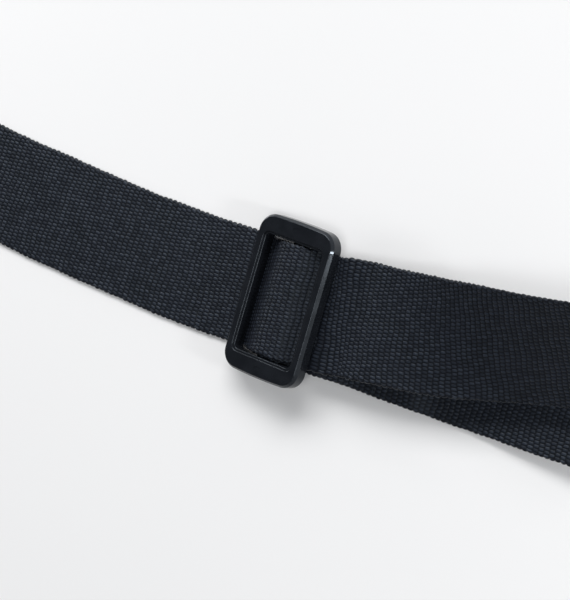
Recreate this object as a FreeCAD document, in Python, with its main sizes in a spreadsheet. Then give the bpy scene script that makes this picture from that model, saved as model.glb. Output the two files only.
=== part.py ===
"""Strap slider on its webbing, in millimetres, +X along the strap, +Z up.

A moulded three-bar slider, the running strand that passes over its centre bar, and the anchor strand that is
sewn round that bar.

The origin is the middle of the slider's centre bar, on the axis that the frame tips about. The slider lies
tipped, because one ply goes under its left long bar and three go under the right one. What turns with it is
modelled level and then tipped.
"""

import FreeCAD
import Part
import math
import os
import Sketcher

DOC = FreeCAD.newDocument("strap_slider")

# Driving dimensions: name, value, what it is
SIZES = [
    ("frame_length_y", 54.4, "outer size across the strap, at the crown of the bowed ends"),
    ("frame_width_x", 31.4, "outer size along the strap"),
    ("frame_height", 5.4, "thickness of the moulding"),
    ("frame_bottom_z", -0.7, "underside of the moulding"),
    ("end_bow", 0.7, "rise of each bowed end"),
    ("corner_radius", 6.0, "outer corners in plan"),
    ("window_length_y", 40.2, "opening across the strap"),
    ("window_width_x", 23.8, "opening along the strap, both slots and the bar"),
    ("window_corner", 1.4, "corner radius of the opening"),
    ("rim_width", 0.8, "ledge round the opening"),
    ("rim_depth", 0.45, "step down to that ledge"),
    ("slope_run", 0.8, "outer top slope, in plan"),
    ("slope_drop", 1.2, "outer top slope, in height"),
    ("edge_round", 0.4, "rounding of the outer edges"),
    ("dimple_length", 3.4, "shallow oval dimple on each end rail"),
    ("dimple_breadth", 1.7, "the same, across"),
    ("dimple_depth", 0.12, "the same, deep"),
    ("bar_width_x", 6.0, "centre bar, along the strap"),
    ("bar_height", 2.4, "centre bar"),
    ("groove_depth", 0.25, "grip grooves on top of the bar"),
    ("groove_width", 0.4, "the same, across"),
    ("groove_pitch", 0.9, "the same, from one to the next"),
    ("web_width", 39.0, "nominal 38 webbing, over its selvedges"),
    ("web_thick", 1.4, "webbing"),
    ("ply_gap", 0.15, "air between plies, and between ply and bar"),
    ("rest_tilt", 10.0, "degrees, how far the slider lies tipped, its right long bar up"),
    ("floor_z", -5.1, "underside of the lowest ply, which lies on the floor"),
    ("split_x", 15.0, "where the plies leave the frame's body, in the level slider"),
    ("split_gap", 0.2, "air at that split"),
    ("left_end_x", -137.0, "cut end of the running strand"),
    ("right_end_x", 112.0, "cut ends on the other side"),
    ("slot_ramp", 36.0, "degrees, the plies' fall from the bar's crest through a slot"),
    ("over_bar_x", 3.6, "where the anchor ply's top turns down into that fall"),
    ("over_bar_bend", 8.0, "bend of the anchor ply there"),
    ("tail_ramp", 30.0, "degrees, the tail's fall under the bar"),
    ("anchor_rise", 4.0, "rise of the anchor strand's cut end off the floor"),
    ("landing_x", 32.0, "where the tail reaches the floor"),
    ("crest_bend", 9.0, "bend of the tail where it starts to fall"),
    ("landing_bend", 30.0, "bend of the tail where it reaches the floor"),
    ("tail_end_x", 50.0, "end of the folded tail"),
    ("tack_first_x", 36.0, "first sewn row"),
    ("tack_row_pitch", 5.0, "from one sewn row to the next"),
    ("tack_pitch_y", 2.3, "from one stitch to the next"),
    ("thread_thick", 0.55, "sewing thread"),
]

TACK_ROWS = 3
TACKS_PER_ROW = 15
GROOVES = 3
ALONG, ACROSS, UP = FreeCAD.Vector(1, 0, 0), FreeCAD.Vector(0, 1, 0), FreeCAD.Vector(0, 0, 1)


def make_sheet():
    sheet = DOC.addObject("Spreadsheet::Sheet", "Sizes")
    for row, (name, value, meaning) in enumerate(SIZES, start=1):
        sheet.set(f"A{row}", name)
        sheet.set(f"B{row}", str(value))
        sheet.set(f"C{row}", meaning)
        sheet.setAlias(f"B{row}", name)
    DOC.recompute()
    return sheet


SHEET = make_sheet()


def size(name):
    """A driving dimension, read from the sheet."""
    return float(SHEET.get(name))


def bind(thing, prop, formula):
    """Bind a property to a formula in which each driving dimension is written {name}."""
    for name, _, _ in SIZES:
        formula = formula.replace("{" + name + "}", "Sizes." + name)
    thing.setExpression(prop, formula)


def new_body(label):
    body = DOC.addObject("PartDesign::Body", label)
    body.Label = label
    return body


def plane_of(body, role):
    return next(f for f in body.Origin.OriginFeatures if f.Role == role)


def new_sketch(body, role, name, offset=None):
    sketch = body.newObject("Sketcher::SketchObject", name)
    sketch.AttachmentSupport = [(plane_of(body, role), "")]
    sketch.MapMode = "FlatFace"
    if offset is not None:
        sketch.AttachmentOffset = offset
    return sketch


def lift(distance):
    """An attachment offset along the plane's normal."""
    return FreeCAD.Placement(FreeCAD.Vector(0, 0, distance), FreeCAD.Rotation())


def name_last(sketch, kind, *where):
    """Add a driving constraint and give back its number."""
    return sketch.addConstraint(Sketcher.Constraint(kind, *where))


def add_rectangle(sketch, wide, high, centre=(0.0, 0.0), bound=None):
    """A rectangle centred on a point; bound holds the formulas for the width and height of a centred one."""
    cx, cy = centre
    x0, x1, y0, y1 = cx - wide / 2, cx + wide / 2, cy - high / 2, cy + high / 2
    corners = [FreeCAD.Vector(x, y, 0) for x, y in ((x0, y0), (x1, y0), (x1, y1), (x0, y1))]
    first = sketch.GeometryCount
    for k in range(4):
        sketch.addGeometry(Part.LineSegment(corners[k], corners[(k + 1) % 4]), False)
    for k in range(4):
        sketch.addConstraint(Sketcher.Constraint("Coincident", first + k, 2, first + (k + 1) % 4, 1))
    for k, kind in enumerate(("Horizontal", "Vertical", "Horizontal", "Vertical")):
        sketch.addConstraint(Sketcher.Constraint(kind, first + k))
    if bound:
        sketch.addConstraint(Sketcher.Constraint("Symmetric", first, 1, first + 1, 2, -1, 1))
        across = name_last(sketch, "DistanceX", first, 1, first, 2, wide)
        bind(sketch, f"Constraints[{across}]", bound[0])
        upward = name_last(sketch, "DistanceY", first + 1, 1, first + 1, 2, high)
        bind(sketch, f"Constraints[{upward}]", bound[1])


def rounded_runs(route):
    """Straight runs joined by tangent arcs. A route is a list of (x, z, radius of the bend there).

    Gives back (start, end, None) for a run and (start, end, (centre, radius, turn)) for a bend.
    """
    pieces = []
    here = FreeCAD.Vector(route[0][0], route[0][1], 0)
    for k in range(1, len(route) - 1):
        corner = FreeCAD.Vector(route[k][0], route[k][1], 0)
        before = corner - FreeCAD.Vector(route[k - 1][0], route[k - 1][1], 0)
        after = FreeCAD.Vector(route[k + 1][0], route[k + 1][1], 0) - corner
        before.normalize()
        after.normalize()
        turn = math.atan2(before.x * after.y - before.y * after.x, before.dot(after))
        radius = route[k][2]
        reach = radius * math.tan(abs(turn) / 2)
        start, end = corner - before * reach, corner + after * reach
        side = math.copysign(1.0, turn)
        centre = start + FreeCAD.Vector(-before.y, before.x, 0) * side * radius
        if (start - here).Length > 1e-6:
            pieces.append((here, start, None))
        pieces.append((start, end, (centre, radius, turn)))
        here = end
    pieces.append((here, FreeCAD.Vector(route[-1][0], route[-1][1], 0), None))
    return pieces


def add_strip(sketch, route, thick):
    """A strip of constant thickness along a route: the offset runs and bends of both sides, and two ends."""
    pieces = rounded_runs(route)
    ends = []
    for side in (1.0, -1.0):
        line = []
        for start, end, bend in pieces:
            if bend is None:
                along = (end - start).normalize()
                out = FreeCAD.Vector(-along.y, along.x, 0) * side * thick / 2
                line.append(Part.LineSegment(start + out, end + out))
                first, last = start + out, end + out
            else:
                centre, radius, turn = bend
                scale = (radius - side * math.copysign(1.0, turn) * thick / 2) / radius
                spoke = start - centre
                middle = FreeCAD.Rotation(UP, math.degrees(turn / 2)).multVec(spoke)
                first, last = centre + spoke * scale, centre + (end - centre) * scale
                line.append(Part.Arc(first, centre + middle * scale, last))
            if not ends or len(ends) % 2 == 0:
                ends.append(first)
        for piece in line:
            sketch.addGeometry(piece, False)
        ends.append(last)
    sketch.addGeometry(Part.LineSegment(ends[0], ends[2]), False)
    sketch.addGeometry(Part.LineSegment(ends[1], ends[3]), False)


def pad(body, sketch, name, length, midplane=False, reverse=False):
    feature = body.newObject("PartDesign::Pad", name)
    feature.Profile = sketch
    bind(feature, "Length", length)
    feature.Midplane = midplane
    feature.Reversed = reverse
    DOC.recompute()
    return feature


def pocket(body, sketch, name, depth=None, reverse=False, midplane=False):
    before = body.Tip.Shape.Volume
    feature = body.newObject("PartDesign::Pocket", name)
    feature.Profile = sketch
    if depth is None:
        feature.Type = "ThroughAll"
    else:
        bind(feature, "Length", depth)
    feature.Midplane = midplane
    feature.Reversed = reverse
    DOC.recompute()
    if feature.Shape.Volume >= before:
        raise RuntimeError(name + " cuts nothing")
    return feature


def near(point, levels):
    """True where a point's height is one of the levels."""
    return any(abs(point.z - level) < 0.01 for level in levels)


def edges_where(feature, test):
    """Names of a feature's edges that pass a test on their middle point and end points."""
    names = []
    for number, edge in enumerate(feature.Shape.Edges, start=1):
        middle = edge.valueAt((edge.FirstParameter + edge.LastParameter) / 2)
        if test([middle] + [v.Point for v in edge.Vertexes]):
            names.append(f"Edge{number}")
    return names


def dress(body, kind, name, edges, **formulas):
    """Fillet or Chamfer on named edges of the body's tip."""
    base = body.Tip
    feature = body.newObject("PartDesign::" + kind, name)
    feature.Base = (base, edges)
    if kind == "Chamfer":
        feature.ChamferType = "Two distances"
    for prop, formula in formulas.items():
        bind(feature, prop, formula)
    DOC.recompute()
    return feature


def outer_outline(sketch):
    """Straight long sides and bowed ends."""
    half_x, crown = size("frame_width_x") / 2, size("frame_length_y") / 2
    shoulder = crown - size("end_bow")
    radius = (half_x**2 + size("end_bow") ** 2) / (2 * size("end_bow"))
    corners = [FreeCAD.Vector(x, y, 0) for x, y in ((-1, -1), (1, -1), (1, 1), (-1, 1))]
    a, b, c, d = [FreeCAD.Vector(p.x * half_x, p.y * shoulder, 0) for p in corners]
    sketch.addGeometry(Part.Arc(a, FreeCAD.Vector(0, -crown, 0), b), False)
    sketch.addGeometry(Part.LineSegment(b, c), False)
    sketch.addGeometry(Part.Arc(c, FreeCAD.Vector(0, crown, 0), d), False)
    sketch.addGeometry(Part.LineSegment(d, a), False)
    for one, end_one, two, end_two in ((0, 2, 1, 1), (1, 2, 2, 1), (2, 2, 3, 1), (3, 2, 0, 1)):
        sketch.addConstraint(Sketcher.Constraint("Coincident", one, end_one, two, end_two))
    sketch.addConstraint(Sketcher.Constraint("Vertical", 1))
    sketch.addConstraint(Sketcher.Constraint("Vertical", 3))
    sketch.addConstraint(Sketcher.Constraint("Symmetric", 1, 1, 3, 1, -1, 1))
    sketch.addConstraint(Sketcher.Constraint("Equal", 0, 2))
    wide = name_last(sketch, "DistanceX", 3, 2, 1, 1, 2 * half_x)
    bind(sketch, f"Constraints[{wide}]", "{frame_width_x}")
    tall = name_last(sketch, "DistanceY", 1, 1, 1, 2, 2 * shoulder)
    bind(sketch, f"Constraints[{tall}]", "{frame_length_y} - 2 * {end_bow}")
    bowed = name_last(sketch, "Radius", 0, radius)
    bind(sketch, f"Constraints[{bowed}]", "({frame_width_x}^2 / 4 + {end_bow}^2) / (2 * {end_bow})")


def rounded_window(body, name, extra, corner, depth, floor_z):
    """Pocket a rectangle with rounded corners, extra wider all round than the opening."""
    sketch = new_sketch(body, "XY_Plane", name + "_sketch", lift(floor_z))
    wide, high = size("window_width_x") + 2 * extra, size("window_length_y") + 2 * extra
    grow = f" + {2 * extra}"
    add_rectangle(sketch, wide, high, bound=("{window_width_x}" + grow, "{window_length_y}" + grow))
    for side in range(4):
        sketch.fillet(side, 2, corner, True, False)
    return pocket(body, sketch, name, depth, reverse=True)


def slider_frame():
    """One moulding: end rails, two long bars, and the fixed grooved centre bar."""
    body = new_body("slider_frame")
    bottom, top = size("frame_bottom_z"), size("frame_bottom_z") + size("frame_height")
    outline = new_sketch(body, "XY_Plane", "frame_outline", lift(bottom))
    outer_outline(outline)
    pad(body, outline, "frame_block", "{frame_height}")
    upright = edges_where(body.Tip, lambda points: near(points[0], [(top + bottom) / 2]))
    dress(body, "Fillet", "plan_corners", upright, Radius="{corner_radius}")
    upper = edges_where(body.Tip, lambda points: all(near(p, [top]) for p in points))
    slope = dress(body, "Chamfer", "outer_slope", upper, Size="{slope_run}", Size2="{slope_drop}")
    if abs(slope_drop_of(slope.Shape, top) - size("slope_drop")) > 0.2:
        slope.FlipDirection = True
        DOC.recompute()
    rim_levels = [top, bottom, top - size("slope_drop")]
    rims = edges_where(body.Tip, lambda points: all(near(p, rim_levels) for p in points))
    dress(body, "Fillet", "outer_rounds", rims, Radius="{edge_round}")
    rounded_window(body, "opening", 0.0, size("window_corner"), None, bottom - 1)
    ledge, ledge_z = size("rim_width"), top - size("rim_depth")
    rounded_window(body, "rim_ledge", ledge, size("window_corner") + ledge, "{rim_depth} + 1", ledge_z)
    inner = edges_where(
        body.Tip,
        lambda points: near(points[0], [top, bottom, ledge_z])
        and all(inside_window(p, ledge + 0.1) for p in points)
        and (inside_window(points[0], 0.05) or not near(points[0], [ledge_z])),
    )
    dress(body, "Fillet", "inner_rounds", inner, Radius="{edge_round} * 0.75")
    add_dimples(body, top)
    add_centre_bar(body)
    return tip(body)


def slope_drop_of(shape, top):
    """How far below the top the outer slope ends: the height of the highest edge at the full outer width."""
    outer = size("frame_width_x") / 2
    heights = [v.Point.z for v in shape.Vertexes if abs(abs(v.Point.x) - outer) < 0.01]
    return top - max(heights)


def inside_window(point, margin):
    """True where a point lies in the opening's outline, grown by a margin."""
    half_x, half_y = size("window_width_x") / 2 + margin, size("window_length_y") / 2 + margin
    return abs(point.x) < half_x and abs(point.y) < half_y


def add_dimples(body, top):
    """A shallow oval in the middle of each end rail."""
    sketch = new_sketch(body, "XY_Plane", "dimple_sketch", lift(top - size("dimple_depth")))
    middle = (size("frame_length_y") + size("window_length_y")) / 4 + size("rim_width") / 2
    long, broad = size("dimple_length") / 2, size("dimple_breadth") / 2
    for side in (1, -1):
        centre = FreeCAD.Vector(0, side * middle, 0)
        sketch.addGeometry(Part.Ellipse(centre, long, broad), False)
    pocket(body, sketch, "dimples", "{dimple_depth} + 1", reverse=True)


def add_centre_bar(body):
    """A bar with half-round edges, let into both end rails, with grip grooves along its top."""
    half_width, half_height = size("bar_width_x") / 2, size("bar_height") / 2
    flat = half_width - half_height
    sketch = new_sketch(body, "XZ_Plane", "bar_section")
    corners = ((-flat, -half_height), (flat, -half_height), (flat, half_height), (-flat, half_height))
    p = [FreeCAD.Vector(x, z, 0) for x, z in corners]
    sketch.addGeometry(Part.LineSegment(p[0], p[1]), False)
    sketch.addGeometry(Part.Arc(p[1], FreeCAD.Vector(half_width, 0, 0), p[2]), False)
    sketch.addGeometry(Part.LineSegment(p[2], p[3]), False)
    sketch.addGeometry(Part.Arc(p[3], FreeCAD.Vector(-half_width, 0, 0), p[0]), False)
    pad(body, sketch, "centre_bar", "{window_length_y} + 2", midplane=True)
    cuts = new_sketch(body, "XZ_Plane", "groove_section")
    for k in range(GROOVES):
        x = (k - (GROOVES - 1) / 2) * size("groove_pitch")
        middle_z = half_height - size("groove_depth") / 2 + 0.25
        add_rectangle(cuts, size("groove_width"), size("groove_depth") + 0.5, (x, middle_z))
    pocket(body, cuts, "grip_grooves", "{window_length_y} - 2", midplane=True)


def ply_body(label, route):
    """A ply of webbing that is straight across: its side view, padded to the webbing's width."""
    body = new_body(label)
    sketch = new_sketch(body, "XZ_Plane", label + "_side")
    add_strip(sketch, route, size("web_thick"))
    pad(body, sketch, label + "_pad", "{web_width}", midplane=True)
    return body


def stack_z(layer):
    """Centre height of a ply in the stack beside the frame: 0 is the lowest."""
    return size("floor_z") + size("web_thick") / 2 + layer * layer_pitch()


def layer_pitch():
    return size("web_thick") + size("ply_gap")


def ring_radius(layer):
    """Radius of a ply's centre line round the bar's edge: 0 is the loop, 1 the running strand."""
    return size("bar_height") / 2 + size("ply_gap") + size("web_thick") / 2 + layer * layer_pitch()


def edge_x():
    """Where the bar's half-round edges are centred."""
    return (size("bar_width_x") - size("bar_height")) / 2


def slot_fall(layer, low_z):
    """A ply that turns down from the crest in one wide bend: how far out its two corners are."""
    angle = math.radians(size("slot_ramp"))
    upper = size("over_bar_x") + layer * layer_pitch() * math.tan(angle / 2)
    return upper, upper + (ring_radius(layer) - low_z) / math.tan(angle)


def split_start():
    return size("split_x") + size("split_gap")


def under_bar_z(layer):
    """Centre height of a ply under a long bar of the level slider: 0 is the highest."""
    return size("frame_bottom_z") - size("ply_gap") - size("web_thick") / 2 - layer * layer_pitch()


def tip(body):
    """Turns a level sub-part of the slider about the centre bar, to where the slider lies."""
    body.Placement = FreeCAD.Placement(FreeCAD.Vector(), FreeCAD.Rotation(ACROSS, -size("rest_tilt")))
    DOC.recompute()
    return body


def tipped(x, z):
    """Where a point (x, z) of the level slider lies once the slider is tipped."""
    angle = math.radians(size("rest_tilt"))
    return x * math.cos(angle) - z * math.sin(angle), x * math.sin(angle) + z * math.cos(angle)


def ahead_of_split(layer, distance):
    """The start of a ply beside the tipped slider, and a point further along in the same direction."""
    start, z = split_start(), under_bar_z(layer)
    return tipped(start, z), tipped(start + distance, z)


def beside(corner, before, after, distance):
    """The corner of a parallel run, that far above a corner between two slopes given in degrees."""
    mean, half = math.radians((before + after) / 2), math.radians((after - before) / 2)
    reach = distance / math.cos(half)
    return corner[0] - reach * math.sin(mean), corner[1] + reach * math.cos(mean)


def running_strand_left():
    """From the cut end, flat on the floor, up to the left long bar."""
    low = stack_z(0)
    end_x, end_z = tipped(-split_start(), under_bar_z(0))
    bend_x = end_x - (end_z - low) / math.tan(math.radians(size("rest_tilt")))
    route = [(size("left_end_x"), low, 0), (bend_x, low, 14.0), (end_x, end_z, 0)]
    return ply_body("running_strand_left", route)


def running_strand_over_bar():
    """The running strand inside the frame: under one long bar, over the centre bar, under the other."""
    top, low = ring_radius(1), under_bar_z(0)
    upper, lower = slot_fall(1, low)
    bend = size("over_bar_bend") + layer_pitch()
    route = [
        (-size("split_x"), low, 0),
        (-lower, low, 2.45),
        (-upper, top, bend),
        (upper, top, bend),
        (lower, low, 2.45),
        (size("split_x"), low, 0),
    ]
    return tip(ply_body("running_strand_over_bar", route))


def anchor_strand_loop():
    """The anchor strand's end: over the centre bar, round it, and back beneath as the tail."""
    ring, upper, lower = ring_radius(0), under_bar_z(1), under_bar_z(2)
    crest, foot = slot_fall(0, upper)
    tail_slope = math.tan(math.radians(size("tail_ramp")))
    tail_top = edge_x() + 0.2
    route = [
        (size("split_x"), upper, 0),
        (foot, upper, 2.45 + layer_pitch()),
        (crest, ring, size("over_bar_bend")),
        (-edge_x() - ring, ring, ring),
        (-edge_x() - ring, -ring, ring),
        (tail_top, -ring, 3.0),
        (tail_top + (-ring - lower) / tail_slope, lower, 4.0),
        (size("split_x"), lower, 0),
    ]
    return tip(ply_body("anchor_strand_loop", route))


def tail_route():
    """The tail's corners: where it starts, tops out, lands on the floor and ends."""
    start, crest = ahead_of_split(2, 1.9)
    landing = (size("landing_x"), stack_z(0))
    return start, crest, landing, (size("tail_end_x"), stack_z(0))


def landing_slope():
    """Degrees that the tail falls by, from its crest to the floor."""
    _, crest, landing, _ = tail_route()
    return math.degrees(math.atan2(landing[1] - crest[1], landing[0] - crest[0]))


def anchor_strand_tail():
    """The folded end under the anchor strand, which the stitches hold."""
    start, crest, landing, end = tail_route()
    route = [(*start, 0), (*crest, size("crest_bend")), (*landing, size("landing_bend")), (*end, 0)]
    return ply_body("anchor_strand_tail", route)


def anchor_strand():
    """From the frame, over the tail, down to the floor, and slowly up to its cut end."""
    pitch, upper, lower = layer_pitch(), stack_z(1), stack_z(0)
    _, crest, landing, _ = tail_route()
    start, _ = ahead_of_split(1, 0.0)
    fall = landing_slope()
    route = [
        (*start, 0),
        (*beside(crest, size("rest_tilt"), fall, pitch), size("crest_bend") + pitch),
        (*beside(landing, fall, 0.0, pitch), size("landing_bend") - pitch),
        (size("tail_end_x") + 1.5, upper, 20.0),
        (size("tail_end_x") + 9.0, lower, 25.0),
        (72.0, lower, 180.0),
        (size("right_end_x"), lower + size("anchor_rise"), 0),
    ]
    return ply_body("anchor_strand", route)


def running_strand_right():
    """On top of the anchor strand, swinging away from it and turning on edge towards its cut end."""
    body = new_body("running_strand_right")
    start, further = ahead_of_split(0, 1.0)
    tipped_along = FreeCAD.Vector(further[0] - start[0], 0, further[1] - start[1])
    stations = [
        (start[0], 0.0, start[1], 0.0),
        (26.0, 1.4, 2.7, 0.0),
        (40.0, 3.4, 4.6, 2.5),
        (58.0, 6.7, 7.2, 12.0),
        (80.0, 11.2, 11.2, 25.5),
        (size("right_end_x"), 17.7, 17.6, 34.5),
    ]
    sketches = []
    for k, (x, y, z, roll) in enumerate(stations):
        before, after = stations[max(k - 1, 0)], stations[min(k + 1, len(stations) - 1)]
        forward = FreeCAD.Vector(after[0] - before[0], after[1] - before[1], after[2] - before[2])
        if k == 0:
            forward = tipped_along
        forward = FreeCAD.Vector(forward).normalize()
        level = UP.cross(forward).normalize()
        across = FreeCAD.Rotation(forward, roll).multVec(level)
        normal = forward.cross(across)
        turn = FreeCAD.Matrix(
            across.y, normal.y, forward.y, 0,
            across.z, normal.z, forward.z, 0,
            across.x, normal.x, forward.x, 0,
            0, 0, 0, 1,
        )
        offset = FreeCAD.Placement(FreeCAD.Vector(y, z, x), FreeCAD.Rotation(turn))
        sketch = new_sketch(body, "YZ_Plane", f"strand_section_{k}", offset)
        add_rectangle(sketch, size("web_width"), size("web_thick"), bound=("{web_width}", "{web_thick}"))
        sketches.append(sketch)
    DOC.recompute()
    loft = body.newObject("PartDesign::AdditiveLoft", "strand_loft")
    loft.Profile = sketches[0]
    loft.Sections = sketches[1:]
    loft.Ruled = False
    DOC.recompute()
    return body


def loop_stitching():
    """Rows of thread that hold the tail to the anchor strand: each stitch passes through both plies."""
    thread, radius = size("thread_thick"), size("thread_thick") / 2
    low = stack_z(0) - size("web_thick") / 2 + 0.02
    high = stack_z(1) + size("web_thick") / 2 + size("ply_gap") * 0.3
    solids = []
    for row in range(TACK_ROWS):
        x = size("tack_first_x") + row * size("tack_row_pitch")
        for k in range(TACKS_PER_ROW):
            y = (k - (TACKS_PER_ROW - 1) / 2) * size("tack_pitch_y")
            shaft = Part.makeCylinder(radius, high - low, FreeCAD.Vector(x, y, low), UP)
            solids.append(shaft)
    thing = DOC.addObject("Part::Feature", "loop_stitching")
    thing.Label = "loop_stitching"
    thing.Shape = Part.makeCompound(solids)
    thing.Placement = FreeCAD.Placement()
    return thing


SUB_PARTS = [
    slider_frame,
    running_strand_left,
    running_strand_over_bar,
    running_strand_right,
    anchor_strand_loop,
    anchor_strand,
    anchor_strand_tail,
    loop_stitching,
]


def main():
    made = [build() for build in SUB_PARTS]
    DOC.recompute()
    for thing in DOC.Objects:
        if "Invalid" in thing.State or "Error" in thing.State:
            raise RuntimeError(thing.Name + " failed: " + str(thing.State))
    for thing in made:
        if thing.Shape.isNull() or not thing.Shape.isValid():
            raise RuntimeError(thing.Label + " has no valid shape")
    os.makedirs("parts", exist_ok=True)
    for thing in made:
        thing.Shape.exportStep("parts/" + thing.Label + ".step")
        box = thing.Shape.BoundBox
        print(
            f"{thing.Label}: {len(thing.Shape.Solids)} solids, {thing.Shape.Volume:.1f} mm3, "
            f"x {box.XMin:.2f} {box.XMax:.2f} y {box.YMin:.2f} {box.YMax:.2f} z {box.ZMin:.2f} {box.ZMax:.2f}"
        )


main()
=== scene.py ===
"""Strap slider on black webbing: the looks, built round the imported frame.

Shapes are worked out in millimetres and become metres where a mesh is made. +X is along the strap, +Z up.
"""

import math

import bpy
import numpy as np
from mathutils import Matrix, Vector


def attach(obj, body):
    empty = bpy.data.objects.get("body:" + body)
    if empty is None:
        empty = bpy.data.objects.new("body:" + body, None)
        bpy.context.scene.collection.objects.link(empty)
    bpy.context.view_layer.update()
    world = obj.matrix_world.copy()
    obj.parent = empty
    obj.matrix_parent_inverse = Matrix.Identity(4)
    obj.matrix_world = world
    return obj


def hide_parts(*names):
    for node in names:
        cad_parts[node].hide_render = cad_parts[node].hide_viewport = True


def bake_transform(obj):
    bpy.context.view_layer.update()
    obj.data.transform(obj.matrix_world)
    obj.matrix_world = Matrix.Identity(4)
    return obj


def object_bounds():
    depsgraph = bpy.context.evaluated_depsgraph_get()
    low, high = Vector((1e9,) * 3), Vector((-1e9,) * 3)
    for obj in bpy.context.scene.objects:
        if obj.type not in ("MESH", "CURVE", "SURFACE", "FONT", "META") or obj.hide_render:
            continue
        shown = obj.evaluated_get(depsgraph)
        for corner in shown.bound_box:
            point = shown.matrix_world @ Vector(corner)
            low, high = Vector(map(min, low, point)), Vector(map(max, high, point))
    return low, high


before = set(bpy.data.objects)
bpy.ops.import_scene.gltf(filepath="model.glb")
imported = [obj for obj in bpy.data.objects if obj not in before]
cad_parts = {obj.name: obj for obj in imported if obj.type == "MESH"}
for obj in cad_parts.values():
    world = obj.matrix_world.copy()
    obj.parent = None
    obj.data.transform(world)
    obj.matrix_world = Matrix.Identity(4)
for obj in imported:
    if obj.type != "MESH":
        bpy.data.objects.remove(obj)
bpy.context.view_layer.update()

MM = 0.001

# The slider and its webbing, in millimetres, following the CAD model
FLOOR_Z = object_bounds()[0].z / MM
TILT = math.radians(10.0)
FRAME_EDGE_X = 15.0
FRAME_BOTTOM_Z = -0.7
BAR_HALF_HEIGHT = 1.2
BAR_EDGE_X = 1.8
WEB_WIDTH = 39.0
WEB_THICK = 1.4
PLY_GAP = 0.15
PLY_PITCH = WEB_THICK + PLY_GAP
UNDER_BAR_Z = FRAME_BOTTOM_Z - PLY_GAP - WEB_THICK / 2
SLOT_RAMP = math.radians(36.0)
SLOT_FOOT_BEND = 2.45
OVER_BAR_X = 3.6
OVER_BAR_BEND = 8.0
TAIL_RAMP = math.radians(30.0)
HUMP_BEND = 9.0
LANDING_X = 32.0
LANDING_BEND = 30.0
LEFT_LANDING_BEND = 12.0
LEFT_END_X = -137.0
RIGHT_END_X = 112.0
TAIL_END_X = 50.0
RUNNING_EXIT_Y = 0.6
ANCHOR_Y = -0.85
TAIL_Y = -0.4

# Where the visual strips are cut
SEAM_X = 32.0
ANCHOR_SEAM_X = 38.0

# Stitching, with two threads a row fewer than the CAD model has, so that none shows past the running strand
TACK_FIRST_X = 36.0
TACK_ROW_PITCH = 5.0
TACK_PITCH_Y = 2.3
TACK_ROWS = 3
THREADS_PER_ROW = 13
THREAD_RADIUS = 0.26
THREAD_SIDES = 10
THREAD_RINGS = 15

# The weave. CREST_SHARE of the relief lies within the webbing's own thickness.
COLUMNS = 31
COLUMN = WEB_WIDTH / COLUMNS
FLOAT_PITCH = 1.95
ACROSS_STEPS = 6
ALONG_STEPS = 8
RELIEF = 0.30
CREST_SHARE = 0.92
SELVEDGE_ROUND = 0.75
SEALED_LENGTH = 1.2

# The camera's lean from straight above, its turn, its distance in metres and its rise in millimetres
CAMERA_LEAN = (0.455, 0.145)
CAMERA_TURN = math.radians(17.85)
CAMERA_DISTANCE = 0.7562
CAMERA_RISE = 0.43
CAMERA_LENS = 136.4

# The floor, in metres, and the tint of what the black surfaces reflect
FLOOR_CLEARANCE = 0.00005
FLOOR_HALF_SIDE = 3.0
COOL_TINT = (0.80, 0.90, 1.0, 1)


# ---------------------------------------------------------------- courses of the webbing


def rounded(route, step=0.12):
    """Points (x, z) along straight runs joined by tangent arcs; a route lists (x, z, bend radius)."""
    pts = [np.array(p[:2], float) for p in route]
    line = [pts[0]]

    def run_to(end):
        start = line[-1]
        count = max(1, int(np.linalg.norm(end - start) / step))
        line.extend(start + (end - start) * k / count for k in range(1, count + 1))

    for k in range(1, len(pts) - 1):
        before = (pts[k] - pts[k - 1]) / np.linalg.norm(pts[k] - pts[k - 1])
        after = (pts[k + 1] - pts[k]) / np.linalg.norm(pts[k + 1] - pts[k])
        turn = math.atan2(before[0] * after[1] - before[1] * after[0], before @ after)
        radius = route[k][2]
        reach = radius * math.tan(abs(turn) / 2)
        start = pts[k] - before * reach
        run_to(start)
        side = math.copysign(1.0, turn)
        centre = start + np.array([-before[1], before[0]]) * side * radius
        spoke = start - centre
        count = max(2, int(abs(turn) * radius / step))
        for j in range(1, count + 1):
            c, s = math.cos(turn * j / count), math.sin(turn * j / count)
            line.append(centre + np.array([c * spoke[0] - s * spoke[1], s * spoke[0] + c * spoke[1]]))
    run_to(pts[-1])
    return np.array(line)


def tipped(x, z, y=0.0):
    """Where a point of the level slider lies once the slider is tipped about the bar: x, y, z, no roll."""
    return x * math.cos(TILT) - z * math.sin(TILT), y, x * math.sin(TILT) + z * math.cos(TILT), 0.0


def through(stations, first, last=None, step=0.12):
    """A smooth line through (x, y, z, roll in degrees) stations, with its first and last directions given."""
    p = np.array(stations, float)
    chord = np.linalg.norm(np.diff(p[:, :3], axis=0), axis=1)
    t = np.concatenate([[0], np.cumsum(chord)])
    slope = np.gradient(p, t, axis=0)
    slope[0] = first
    if last is not None:
        slope[-1] = last
    line = []
    for k in range(len(p) - 1):
        span = t[k + 1] - t[k]
        count = max(2, int(span / step))
        u = (np.arange(count) / count)[:, None]
        a, b = 2 * u**3 - 3 * u**2 + 1, u**3 - 2 * u**2 + u
        c, d = -2 * u**3 + 3 * u**2, u**3 - u**2
        line.append(a * p[k] + b * span * slope[k] + c * p[k + 1] + d * span * slope[k + 1])
    return np.vstack([*line, p[-1:]])


def stack_z(layer):
    """Centre height of a ply in the stack on the floor: 0 is the lowest."""
    return FLOOR_Z + WEB_THICK / 2 + layer * PLY_PITCH


def ring(layer):
    """Radius of a ply's centre line round the bar's edge: 0 is the loop, 1 the running strand."""
    return BAR_HALF_HEIGHT + PLY_GAP + WEB_THICK / 2 + layer * PLY_PITCH


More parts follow.
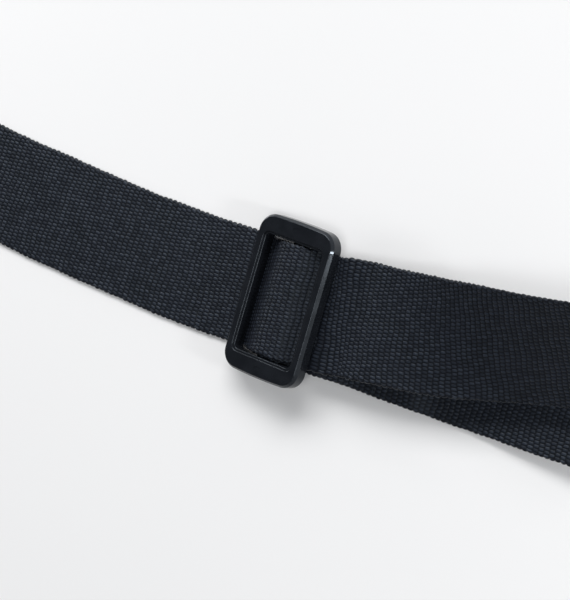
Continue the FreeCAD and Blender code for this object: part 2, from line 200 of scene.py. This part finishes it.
def slot_fall(layer, low_z):
    """A ply that turns down from the crest in one wide bend: how far out its two corners are."""
    upper = OVER_BAR_X + layer * PLY_PITCH * math.tan(SLOT_RAMP / 2)
    return upper, upper + (ring(layer) - low_z) / math.tan(SLOT_RAMP)


def tipped_course(route, y_from, y_to):
    """A route of the level slider, tipped, drifting across from one y to another."""
    line = rounded(route)
    x, y, z, roll = tipped(line[:, 0], line[:, 1], 0 * line[:, 0])
    drift = np.linspace(0, 1, len(line))
    return np.column_stack([x, y_from + (y_to - y_from) * drift**2 * (3 - 2 * drift), z, roll + 0 * x])


AHEAD = (math.cos(TILT), 0.0, math.sin(TILT), 0.0)


def running_course():
    """From the left cut end, through the slider, to the right cut end: columns x, y, z, roll."""
    low, under = stack_z(0), UNDER_BAR_Z
    upper, lower = slot_fall(1, under)
    bend = OVER_BAR_BEND + PLY_PITCH
    split = tipped(-FRAME_EDGE_X, under)
    landing = split[0] - (split[2] - low) / math.tan(TILT)
    outer = rounded([(LEFT_END_X, low, 0), (landing, low, LEFT_LANDING_BEND), (split[0], split[2], 0)])
    swing = through(
        [
            (-140, 6.4, 0, 0),
            (-125, 5.0, 0, 0),
            (-110, 3.6, 0, 0),
            (-80, 1.4, 0, 0),
            (-60, 0.2, 0, 0),
            (-35, -0.55, 0, 0),
            (-14, -0.3, 0, 0),
        ],
        first=(1, -0.08, 0, 0),
        last=(1, 0, 0, 0),
    )
    sideways = np.interp(outer[:, 0], swing[:, 0], swing[:, 1])
    left = np.column_stack([outer[:, 0], sideways, outer[:, 1], 0 * sideways])
    inner = tipped_course(
        [
            (-FRAME_EDGE_X, under, 0),
            (-lower, under, SLOT_FOOT_BEND),
            (-upper, ring(1), bend),
            (upper, ring(1), bend),
            (lower, under, SLOT_FOOT_BEND),
            (FRAME_EDGE_X, under, 0),
        ],
        sideways[-1],
        RUNNING_EXIT_Y,
    )
    right = through(
        [
            tipped(FRAME_EDGE_X, under, RUNNING_EXIT_Y),
            (26.0, 2.4, 2.7, 0.0),
            (40.0, 4.1, 4.6, 2.5),
            (58.0, 6.7, 7.2, 12.0),
            (80.0, 11.2, 11.2, 25.5),
            (RIGHT_END_X, 17.7, 17.6, 34.5),
        ],
        first=AHEAD,
    )
    return np.vstack([left[:-1], inner[:-1], right])


def beside(corner, before, after):
    """The corner of the ply above a corner (x, y, z) between two slopes."""
    mean, half = (before + after) / 2, (after - before) / 2
    reach = PLY_PITCH / math.cos(half)
    return corner[0] - reach * math.sin(mean), corner[2] + reach * math.cos(mean)


def anchor_course():
    """From the right cut end, over the tail, round the centre bar, and back to the tail's end."""
    under_upper, under_lower, loop = UNDER_BAR_Z - PLY_PITCH, UNDER_BAR_Z - 2 * PLY_PITCH, ring(0)
    upper, lower = stack_z(1), stack_z(0)
    crest, foot = slot_fall(0, under_upper)
    tail_top = BAR_EDGE_X + 0.2
    tail_foot = tail_top + (-loop - under_lower) / math.tan(TAIL_RAMP)
    hump = tipped(FRAME_EDGE_X + 2.1, under_lower)
    fall = math.atan2(lower - hump[2], LANDING_X - hump[0])
    over_hump = beside(hump, TILT, fall)
    over_landing = beside((LANDING_X, 0, lower), fall, 0.0)
    start = tipped(FRAME_EDGE_X, under_upper)
    strand = rounded(
        [
            (RIGHT_END_X, lower + 4.0, 0),
            (72.0, lower, 180.0),
            (TAIL_END_X + 9.0, lower, 25.0),
            (TAIL_END_X + 1.5, upper, 20.0),
            (*over_landing, LANDING_BEND - PLY_PITCH),
            (*over_hump, HUMP_BEND + PLY_PITCH),
            (start[0], start[2], 0),
        ]
    )
    sag = ANCHOR_Y + 1.5 * np.clip((strand[:, 0] - 62) / 50, 0, 1) ** 2
    strand = np.column_stack([strand[:, 0], sag, strand[:, 1], 0 * sag])
    loop_round = tipped_course(
        [
            (FRAME_EDGE_X, under_upper, 0),
            (foot, under_upper, SLOT_FOOT_BEND + PLY_PITCH),
            (crest, loop, OVER_BAR_BEND),
            (-BAR_EDGE_X - loop, loop, loop),
            (-BAR_EDGE_X - loop, -loop, loop),
            (tail_top, -loop, 3.0),
            (tail_foot, under_lower, 4.0),
            (FRAME_EDGE_X, under_lower, 0),
        ],
        ANCHOR_Y,
        TAIL_Y,
    )
    tail = rounded(
        [
            (loop_round[-1, 0], loop_round[-1, 2], 0),
            (hump[0], hump[2], HUMP_BEND),
            (LANDING_X, lower, LANDING_BEND),
            (TAIL_END_X, lower, 0),
        ]
    )
    tail = np.column_stack([tail[:, 0], TAIL_Y + 0 * tail[:, 0], tail[:, 1], 0 * tail[:, 0]])
    return np.vstack([strand[:-1], loop_round[:-1], tail])


def smooth_course(course, reach=0.35):
    """The course at even steps, softened over a short reach, with its length along as a last column."""
    seg = np.linalg.norm(np.diff(course[:, :3], axis=0), axis=1)
    s = np.concatenate([[0], np.cumsum(seg)])
    step = 0.05
    even = np.arange(0, s[-1], step)
    out = np.column_stack([np.interp(even, s, course[:, k]) for k in range(4)])
    half = int(3 * reach / step)
    kernel = np.exp(-0.5 * (np.arange(-half, half + 1) * step / reach) ** 2)
    kernel /= kernel.sum()
    first, last = out[0] - out[1], out[-1] - out[-2]
    before = out[0] + first * np.arange(half, 0, -1)[:, None]
    after = out[-1] + last * np.arange(1, half + 1)[:, None]
    padded = np.vstack([before, out, after])
    soft = np.column_stack([np.convolve(padded[:, k], kernel, "valid") for k in range(4)])
    return np.column_stack([soft, even])


# ---------------------------------------------------------------- woven surface


def hashed(a, b, seed):
    """A repeatable number from 0 to 1 for each pair of whole numbers."""
    mixed = np.sin(a * 12.9898 + b * 78.233 + seed * 37.719) * 43758.5453
    return mixed - np.floor(mixed)


def weave_height(u, s, seed):
    """Relief of the weave, 0 in the gaps to 1 on a float's crest, at u across and s along.

    The floats lie in rows across the webbing, and each row sits a third of a float further over.
    """
    wander = 0.16 * np.sin(u / 2.9 + s / 7.7) + 0.12 * np.sin(u / 1.3 - s / 4.1)
    row = np.floor((s + wander) / FLOAT_PITCH)
    part = (s + wander) / FLOAT_PITCH - row
    over = (u + WEB_WIDTH / 2) / COLUMN - row / 3
    column = np.floor(over + 1e-6)
    across = over - column + 0.16 * (part - 0.5)
    length = 0.93 + 0.10 * (hashed(column, row, seed + 2) - 0.5)
    hump = np.sqrt(np.clip(1 - (np.abs(2 * part - 1) / length) ** 3.0, 0, 1))
    ridge = np.clip(1 - (np.abs(2 * across - 1) / 0.92) ** 2.4, 0, 1) ** 0.6
    return ridge * hump * (0.80 + 0.36 * (hashed(column, row, seed + 1) - 0.5))


def half_thick(u):
    """Half the webbing's thickness under the relief: flat, with rounded selvedges."""
    edge = np.clip((np.abs(u) - (WEB_WIDTH / 2 - SELVEDGE_ROUND)) / SELVEDGE_ROUND, 0, 1)
    return (WEB_THICK / 2 - CREST_SHARE * RELIEF) * np.sqrt(np.clip(1 - edge**2, 0, 1))


def melt_at(s, s_from, s_to, sealed):
    """How far the weave has melted at s: 0 in the strip, rising to 1 at an end named in sealed."""
    melt = np.zeros_like(s)
    if "start" in sealed:
        melt = np.maximum(melt, np.clip(1 - (s - s_from) / SEALED_LENGTH, 0, 1))
    if "end" in sealed:
        melt = np.maximum(melt, np.clip(1 - (s_to - s) / SEALED_LENGTH, 0, 1))
    return melt**2 * (3 - 2 * melt)


def toothed(u, s, seed):
    """u with the selvedges' slow ripple and the small teeth where the weft turns back."""
    side = np.sign(u)
    ripple = 0.10 * np.sin(s / 9.1 + seed) + 0.07 * np.sin(s / 4.3 + 2 * seed)
    pick = np.floor(s / FLOAT_PITCH + 0.25 * side)
    tooth = np.sin(math.pi * (s / FLOAT_PITCH + 0.25 * side - pick)) ** 0.7
    tooth = tooth * (0.26 + 0.26 * hashed(pick, side, seed + 5))
    reach = (np.abs(u) / (WEB_WIDTH / 2)) ** 12
    return u + side * reach * (ripple + tooth - 0.25)


def strip_axes(course, s):
    """The middle of a strip, its direction across and its face's direction, at lengths s along a course."""
    at = np.column_stack([np.interp(s, course[:, 4], course[:, k]) for k in range(4)])
    ahead = np.column_stack([np.interp(s + 0.15, course[:, 4], course[:, k]) for k in range(3)])
    behind = np.column_stack([np.interp(s - 0.15, course[:, 4], course[:, k]) for k in range(3)])
    tangent = ahead - behind
    tangent /= np.linalg.norm(tangent, axis=1)[:, None]
    level = np.array([0.0, 1.0, 0.0]) - tangent * tangent[:, 1:2]
    level /= np.linalg.norm(level, axis=1)[:, None]
    upright = np.cross(tangent, level)
    roll = np.radians(at[:, 3])[:, None]
    across = level * np.cos(roll) + upright * np.sin(roll)
    normal = upright * np.cos(roll) - level * np.sin(roll)
    return at[:, :3], across, normal


def strip_faces(rows, count):
    """Quads round a strip and the faces that close its two ends; each row has count points on top."""
    around = 2 * count - 2
    row_start = np.arange(rows - 1)[:, None] * around
    a = np.arange(around)[None, :]
    b = (a + 1) % around
    quads = np.stack([row_start + a, row_start + around + a, row_start + around + b, row_start + b], -1)
    caps = []
    for base, flip in ((0, False), ((rows - 1) * around, True)):
        for k in range(count - 2):
            top0, top1 = base + k, base + k + 1
            low0, low1 = base + (around - k) % around, base + around - k - 1
            quad = [top0, top1, low1, low0] if k else [top0, top1, low1]
            caps.append(quad[::-1] if flip else quad)
        k = count - 2
        tip = [base + k, base + k + 1, base + around - k]
        caps.append(tip[::-1] if flip else tip)
    return quads.reshape(-1, 4), caps


def strip_mesh(name, verts, quads, caps):
    """A mesh of the quads, shaded smooth, and the caps, shaded flat."""
    sizes = [4] * len(quads) + [len(c) for c in caps]
    flat = np.concatenate([quads.ravel()] + [np.array(c) for c in caps]).astype(np.int32)
    mesh = bpy.data.meshes.new(name)
    mesh.vertices.add(len(verts))
    mesh.vertices.foreach_set("co", verts.astype(np.float32).ravel())
    mesh.loops.add(len(flat))
    mesh.loops.foreach_set("vertex_index", flat)
    mesh.polygons.add(len(sizes))
    starts = np.concatenate([[0], np.cumsum(sizes)[:-1]])
    mesh.polygons.foreach_set("loop_start", starts.astype(np.int32))
    mesh.update(calc_edges=True)
    mesh.validate()
    smooth = np.ones(len(mesh.polygons), bool)
    smooth[len(quads):] = False
    mesh.polygons.foreach_set("use_smooth", smooth)
    return mesh


def woven_strip(name, course, s_from, s_to, seed, sealed=()):
    """A closed woven strip along part of a course, from s_from to s_to in millimetres along it.

    The ends named in sealed are heat-cut: there the weave melts into a smooth, slightly swollen lip.
    """
    rows = int(round((s_to - s_from) / FLOAT_PITCH * ALONG_STEPS)) + 1
    s = np.linspace(s_from, s_to, rows)
    middle, across, normal = strip_axes(course, s)
    count = COLUMNS * ACROSS_STEPS + 1
    u = np.linspace(-WEB_WIDTH / 2, WEB_WIDTH / 2, count)
    face = np.concatenate([np.ones(count), -np.ones(count - 2)])
    grid_u, grid_s = np.meshgrid(np.concatenate([u, u[-2:0:-1]]), s)
    grid_face = np.broadcast_to(face, grid_u.shape)

    weave = weave_height(grid_u, np.where(grid_face > 0, grid_s, grid_s + 0.5 * FLOAT_PITCH), seed)
    fade = np.clip((WEB_WIDTH / 2 - np.abs(grid_u)) / 0.6, 0, 1)
    melt = melt_at(grid_s, s_from, s_to, sealed)
    weave = weave * (1 - 0.85 * melt) + 0.25 * melt
    height = half_thick(grid_u) * (1 - 0.25 * melt**4) + RELIEF * weave * fade
    points = middle[:, None, :] + across[:, None, :] * toothed(grid_u, grid_s, seed)[..., None]
    points = points + normal[:, None, :] * (grid_face * height)[..., None]

    mesh = strip_mesh(name, points.reshape(-1, 3) * MM, *strip_faces(rows, count))
    # The weave's height, less near the selvedges, carried to the material for painted shade in the gaps and
    # painted light on the crests
    crest = mesh.attributes.new("crest", "FLOAT", "POINT")
    crest.data.foreach_set("value", (weave * (0.3 + 0.7 * fade)).ravel().astype(np.float32))
    uv = mesh.uv_layers.new(name="strap")
    loop_vertex = np.zeros(len(mesh.loops), np.int32)
    mesh.loops.foreach_get("vertex_index", loop_vertex)
    place = np.column_stack([grid_s.ravel(), grid_u.ravel() + 60.0 * (grid_face.ravel() < 0)])
    uv.data.foreach_set("uv", place[loop_vertex].astype(np.float32).ravel())
    piece = bpy.data.objects.new(name, mesh)
    bpy.context.scene.collection.objects.link(piece)
    return piece


def s_at_x(course, x, start=0, end=None):
    """Length along a course at its point nearest to x, among the points from start to end."""
    part = course[start:end]
    hit = np.argmin(np.abs(part[:, 0] - x))
    return part[hit, 4]


def whole_rows(s):
    """The nearest whole number of weave rows, so that a seam falls between two rows of floats."""
    return round(s / FLOAT_PITCH) * FLOAT_PITCH


# ---------------------------------------------------------------- materials


def new_material(name):
    material = bpy.data.materials.new(name)
    material.use_nodes = True
    tree = material.node_tree
    return material, tree, tree.nodes["Principled BSDF"]


def link(tree, source, output, target, entry):
    tree.links.new(source.outputs[output], target.inputs[entry])


def set_inputs(node, **values):
    """Set a node's inputs; an underscore in a keyword stands for a space in the input's name."""
    for name, value in values.items():
        node.inputs[name.replace("_", " ")].default_value = value


def noise(tree, place, output, scale, detail=2.0):
    node = tree.nodes.new("ShaderNodeTexNoise")
    set_inputs(node, Scale=scale, Detail=detail)
    link(tree, place, output, node, "Vector")
    return node


def ramp(tree, source, output, low, high):
    """A colour ramp over source's output, from low to high, each a position and a colour."""
    node = tree.nodes.new("ShaderNodeValToRGB")
    for element, (position, colour) in zip(node.color_ramp.elements, (low, high)):
        element.position = position
        element.color = (*colour, 1)
    link(tree, source, output, node, "Fac")
    return node


def map_range(tree, source, output, low, high):
    """Source's output, mapped so that low and high, each a value and its result, are met."""
    node = tree.nodes.new("ShaderNodeMapRange")
    set_inputs(node, From_Min=low[0], From_Max=high[0], To_Min=low[1], To_Max=high[1])
    link(tree, source, output, node, "Value")
    return node


def stretched(tree, place, scale, turn=0.0):
    """The strap's own coordinates, scaled along and across, and turned."""
    node = tree.nodes.new("ShaderNodeMapping")
    set_inputs(node, Scale=(*scale, 1.0), Rotation=(0, 0, turn))
    link(tree, place, "UV", node, "Vector")
    return node


def bump(tree, source, shader, strength, distance):
    node = tree.nodes.new("ShaderNodeBump")
    set_inputs(node, Strength=strength, Distance=distance)
    link(tree, source, "Fac", node, "Height")
    link(tree, node, "Normal", shader, "Normal")


def webbing_material():
    """Dull black multifilament yarn: painted shade darkens the gaps and painted light lightens the crests,
    with a soft sheen and fine filaments.
    """
    material, tree, shader = new_material("webbing")
    crest = tree.nodes.new("ShaderNodeAttribute")
    crest.attribute_name = "crest"
    place = tree.nodes.new("ShaderNodeUVMap")
    place.uv_map = "strap"
    yarn = noise(tree, stretched(tree, place, (0.9, 9.0)), "Vector", 1.0, 3.0)
    patch = noise(tree, place, "UV", 0.09)
    # Base colour from near black in the gaps to lighter on the crests: painted shade and painted light of the
    # weave
    tone = ramp(tree, crest, "Fac", (0.30, (0.0012, 0.0016, 0.0026)), (0.95, (0.029, 0.037, 0.053)))
    vary = tree.nodes.new("ShaderNodeMixRGB")
    vary.blend_type = "MULTIPLY"
    set_inputs(vary, Fac=0.55)
    link(tree, tone, "Color", vary, "Color1")
    link(tree, yarn, "Fac", vary, "Color2")
    spread = tree.nodes.new("ShaderNodeMath")
    spread.operation = "MULTIPLY"
    spread.inputs[1].default_value = 0.3
    link(tree, patch, "Fac", spread, 0)
    cool = tree.nodes.new("ShaderNodeMixRGB")
    cool.blend_type = "MIX"
    set_inputs(cool, Color2=(0.016, 0.018, 0.030, 1))
    link(tree, spread, "Value", cool, "Fac")
    link(tree, vary, "Color", cool, "Color1")
    link(tree, cool, "Color", shader, "Base Color")
    filaments = noise(tree, stretched(tree, place, (1.3, 26.0), 0.18), "Vector", 1.0, 1.5)
    bump(tree, filaments, shader, 0.5, 0.00006)
    set_inputs(shader, Roughness=0.42, Specular_IOR_Level=0.26, Specular_Tint=COOL_TINT)
    set_inputs(shader, Sheen_Weight=0.03, Sheen_Roughness=0.45, Sheen_Tint=(0.75, 0.82, 1.0, 1))
    return material


def plastic_material():
    """Semi-gloss black moulding: faint grain and a little uneven gloss."""
    material, tree, shader = new_material("moulded_plastic")
    place = tree.nodes.new("ShaderNodeTexCoord")
    haze = noise(tree, place, "Object", 160.0, 4.0)
    gloss = map_range(tree, haze, "Fac", (0.3, 0.11), (0.7, 0.19))
    link(tree, gloss, "Result", shader, "Roughness")
    tone = ramp(tree, haze, "Fac", (0.3, (0.0062, 0.0072, 0.0095)), (0.75, (0.0110, 0.0126, 0.0160)))
    link(tree, tone, "Color", shader, "Base Color")
    bump(tree, noise(tree, place, "Object", 2600.0), shader, 0.25, 0.00002)
    set_inputs(shader, Specular_IOR_Level=0.40, Specular_Tint=COOL_TINT)
    return material


def thread_material():
    """Twisted polyester thread, with a mottled tone."""
    material, tree, shader = new_material("thread")
    twist = noise(tree, tree.nodes.new("ShaderNodeTexCoord"), "Object", 1500.0)
    tone = ramp(tree, twist, "Fac", (0.0, (0.006, 0.007, 0.010)), (1.0, (0.030, 0.034, 0.044)))
    link(tree, tone, "Color", shader, "Base Color")
    set_inputs(shader, Roughness=0.45)
    return material


def floor_material():
    material, tree, shader = new_material("pale_floor")
    tint = noise(tree, tree.nodes.new("ShaderNodeTexCoord"), "Object", 3.0)
    tone = ramp(tree, tint, "Fac", (0.0, (0.80, 0.80, 0.805)), (1.0, (0.83, 0.83, 0.835)))
    link(tree, tone, "Color", shader, "Base Color")
    set_inputs(shader, Roughness=0.7, Specular_IOR_Level=0.2)
    return material


# ---------------------------------------------------------------- camera, floor and lights


def place_camera():
    """Above the slider's right side, turned so that the strap runs down to the right. Gives the view's up."""
    back = Vector((*CAMERA_LEAN, 1.0)).normalized()
    right = Vector((math.cos(CAMERA_TURN), math.sin(CAMERA_TURN), 0.0))
    right = (right - back * right.dot(back)).normalized()
    up = back.cross(right)
    data = bpy.data.cameras.new("camera")
    data.sensor_width = 36.0
    data.lens = CAMERA_LENS
    data.clip_start = 0.01
    data.clip_end = 20.0
    camera = bpy.data.objects.new("camera", data)
    turned = Matrix((right, up, back)).transposed().to_4x4()
    camera.matrix_world = Matrix.Translation(back * CAMERA_DISTANCE + up * (CAMERA_RISE * MM)) @ turned
    bpy.context.scene.collection.objects.link(camera)
    bpy.context.scene.camera = camera
    return up


def add_floor():
    mesh = bpy.data.meshes.new("floor")
    side = FLOOR_HALF_SIDE
    z = FLOOR_Z * MM - FLOOR_CLEARANCE
    corners = [(-side, -side, z), (side, -side, z), (side, side, z), (-side, side, z)]
    mesh.from_pydata(corners, [], [(0, 1, 2, 3)])
    floor = bpy.data.objects.new("floor", mesh)
    bpy.context.scene.collection.objects.link(floor)
    floor.data.materials.append(floor_material())


def area_light(name, position, target, wide, high, watts, colour):
    data = bpy.data.lights.new(name, "AREA")
    data.shape = "RECTANGLE"
    data.size, data.size_y = wide, high
    data.energy = watts
    data.color = colour
    light = bpy.data.objects.new(name, data)
    light.location = position
    light.rotation_mode = "QUATERNION"
    light.rotation_quaternion = (Vector(target) - Vector(position)).to_track_quat("-Z", "Y")
    bpy.context.scene.collection.objects.link(light)


def add_room():
    """A plain room, brighter low down and darker on one side."""
    world = bpy.data.worlds.new("room")
    world.use_nodes = True
    tree = world.node_tree
    background = tree.nodes["Background"]
    place = tree.nodes.new("ShaderNodeTexCoord")
    split = tree.nodes.new("ShaderNodeSeparateXYZ")
    link(tree, place, "Generated", split, "Vector")
    height = ramp(tree, split, "Z", (0.05, (0.97, 0.975, 0.98)), (0.75, (0.21, 0.215, 0.22)))
    link(tree, height, "Color", background, "Color")
    facing = tree.nodes.new("ShaderNodeVectorMath")
    facing.operation = "DOT_PRODUCT"
    facing.inputs[1].default_value = (0.75, 0.66, 0.0)
    link(tree, place, "Generated", facing, 0)
    sides = map_range(tree, facing, "Value", (-0.9, 0.15), (0.7, 1.0))
    link(tree, sides, "Result", background, "Strength")
    bpy.context.scene.world = world


def add_lights(up):
    """A wide window light from beyond the strap, a weaker one above, and two low ones that edges catch."""
    key = Vector((up.x, up.y, 0)).normalized() * 1.75 + Vector((0, 0, 1.25))
    area_light("key", key, (0, 0, 0), 2.2, 0.8, 51.5, (1.0, 0.998, 0.995))
    area_light("overhead", (0.60, -0.25, 2.1), (0.25, -0.1, 0), 0.8, 0.8, 12.0, (0.97, 0.98, 0.99))
    area_light("bevel_glint", (0.50, 0.02, 0.19), (0.015, 0.01, 0.003), 0.04, 0.07, 0.65, (0.98, 0.99, 1.0))
    area_light("rim_glint", (-0.50, 0.14, 0.14), (0, 0, 0), 0.06, 0.06, 0.40, (0.98, 0.99, 1.0))


# ---------------------------------------------------------------- the webbing, the slider and the stitches


def add_webbing():
    """Both webbing strips, cut where their motion changes: four strips of one and two of the other."""
    material = webbing_material()
    running = smooth_course(running_course())
    anchor = smooth_course(anchor_course())
    middle = len(running) // 2
    crown = whole_rows(running[:, 4][np.argmin(np.abs(running[:, 0]) + 100 * (running[:, 2] < 0))])
    left_seam = whole_rows(s_at_x(running, -SEAM_X, end=middle))
    right_seam = whole_rows(s_at_x(running, SEAM_X, start=middle))
    anchor_seam = whole_rows(s_at_x(anchor, ANCHOR_SEAM_X, end=len(anchor) // 2))
    strips = {
        "running_strand_left_run": (running, 0.0, left_seam, 3, ("start",)),
        "running_strand_left_rise": (running, left_seam, crown, 3),
        "running_strand_right_fall": (running, crown, right_seam, 3),
        "running_strand_right_run": (running, right_seam, running[-1, 4], 3, ("end",)),
        "anchor_strand_run": (anchor, 0.0, anchor_seam, 8, ("start",)),
        "anchor_strand_loop_ply": (anchor, anchor_seam, anchor[-1, 4], 8, ("end",)),
    }
    made = {name: woven_strip(name, *strip) for name, strip in strips.items()}
    for piece in made.values():
        piece.data.materials.append(material)
    left_run, left_rise, right_fall, right_run, anchor_run, loop_ply = made.values()
    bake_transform(left_run)
    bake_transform(left_rise)
    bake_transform(right_fall)
    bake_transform(right_run)
    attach(anchor_run, "anchor_strand")
    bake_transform(loop_ply)
    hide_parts("running_strand_left")
    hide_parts("running_strand_over_bar")
    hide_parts("running_strand_right")
    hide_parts("anchor_strand")
    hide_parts("anchor_strand_loop", "anchor_strand_tail")


def paint_slider():
    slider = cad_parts["slider_frame"]
    slider.data.materials.clear()
    slider.data.materials.append(plastic_material())
    for polygon in slider.data.polygons:
        polygon.material_index = 0


def add_thread(verts, faces, x, y_from, z, pressed):
    """One stitch across the webbing, dipping in at both ends; a pressed one lies flat under the tail."""
    base = len(verts)
    for i in range(THREAD_RINGS):
        t = i / (THREAD_RINGS - 1)
        y = y_from + 0.12 + (TACK_PITCH_Y - 0.24) * t
        dip = 0.55 * abs(2 * t - 1) ** 4
        for j in range(THREAD_SIDES):
            turn = 2 * math.pi * j / THREAD_SIDES
            wide = THREAD_RADIUS * (1 + 0.13 * math.cos(2 * turn + 9 * t))
            up_by = wide * math.sin(turn) - dip
            if pressed:
                up_by = min(0.08, 0.08 - up_by * 0.3)
            verts.append(((x + wide * math.cos(turn)) * MM, y * MM, (z + up_by) * MM))
    for i in range(THREAD_RINGS - 1):
        for j in range(THREAD_SIDES):
            a, b = base + i * THREAD_SIDES + j, base + i * THREAD_SIDES + (j + 1) % THREAD_SIDES
            faces.append((a, b, b + THREAD_SIDES, a + THREAD_SIDES))
    last = base + (THREAD_RINGS - 1) * THREAD_SIDES
    faces.append([base + j for j in range(THREAD_SIDES)][::-1])
    faces.append([last + j for j in range(THREAD_SIDES)])


def add_stitches():
    """Rows of stitches that hold the tail: one thread on each face between two holes."""
    verts, faces = [], []
    top_z = stack_z(1) + WEB_THICK / 2 + 0.10
    bottom_z = stack_z(0) - WEB_THICK / 2 + 0.02
    for row in range(TACK_ROWS):
        x = TACK_FIRST_X + row * TACK_ROW_PITCH
        for k in range(THREADS_PER_ROW):
            y_from = (k - THREADS_PER_ROW / 2) * TACK_PITCH_Y + ANCHOR_Y
            add_thread(verts, faces, x, y_from, top_z, pressed=False)
            add_thread(verts, faces, x, y_from, bottom_z, pressed=True)
    mesh = bpy.data.meshes.new("tack_stitches")
    mesh.from_pydata(verts, [], faces)
    for polygon in mesh.polygons:
        polygon.use_smooth = True
    piece = bpy.data.objects.new("tack_stitches", mesh)
    bpy.context.scene.collection.objects.link(piece)
    piece.data.materials.append(thread_material())
    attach(piece, "anchor_strand")
    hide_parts("loop_stitching")


bpy.context.scene.view_settings.view_transform = "Standard"
up = place_camera()
add_floor()
add_room()
add_lights(up)
add_webbing()
paint_slider()
add_stitches()
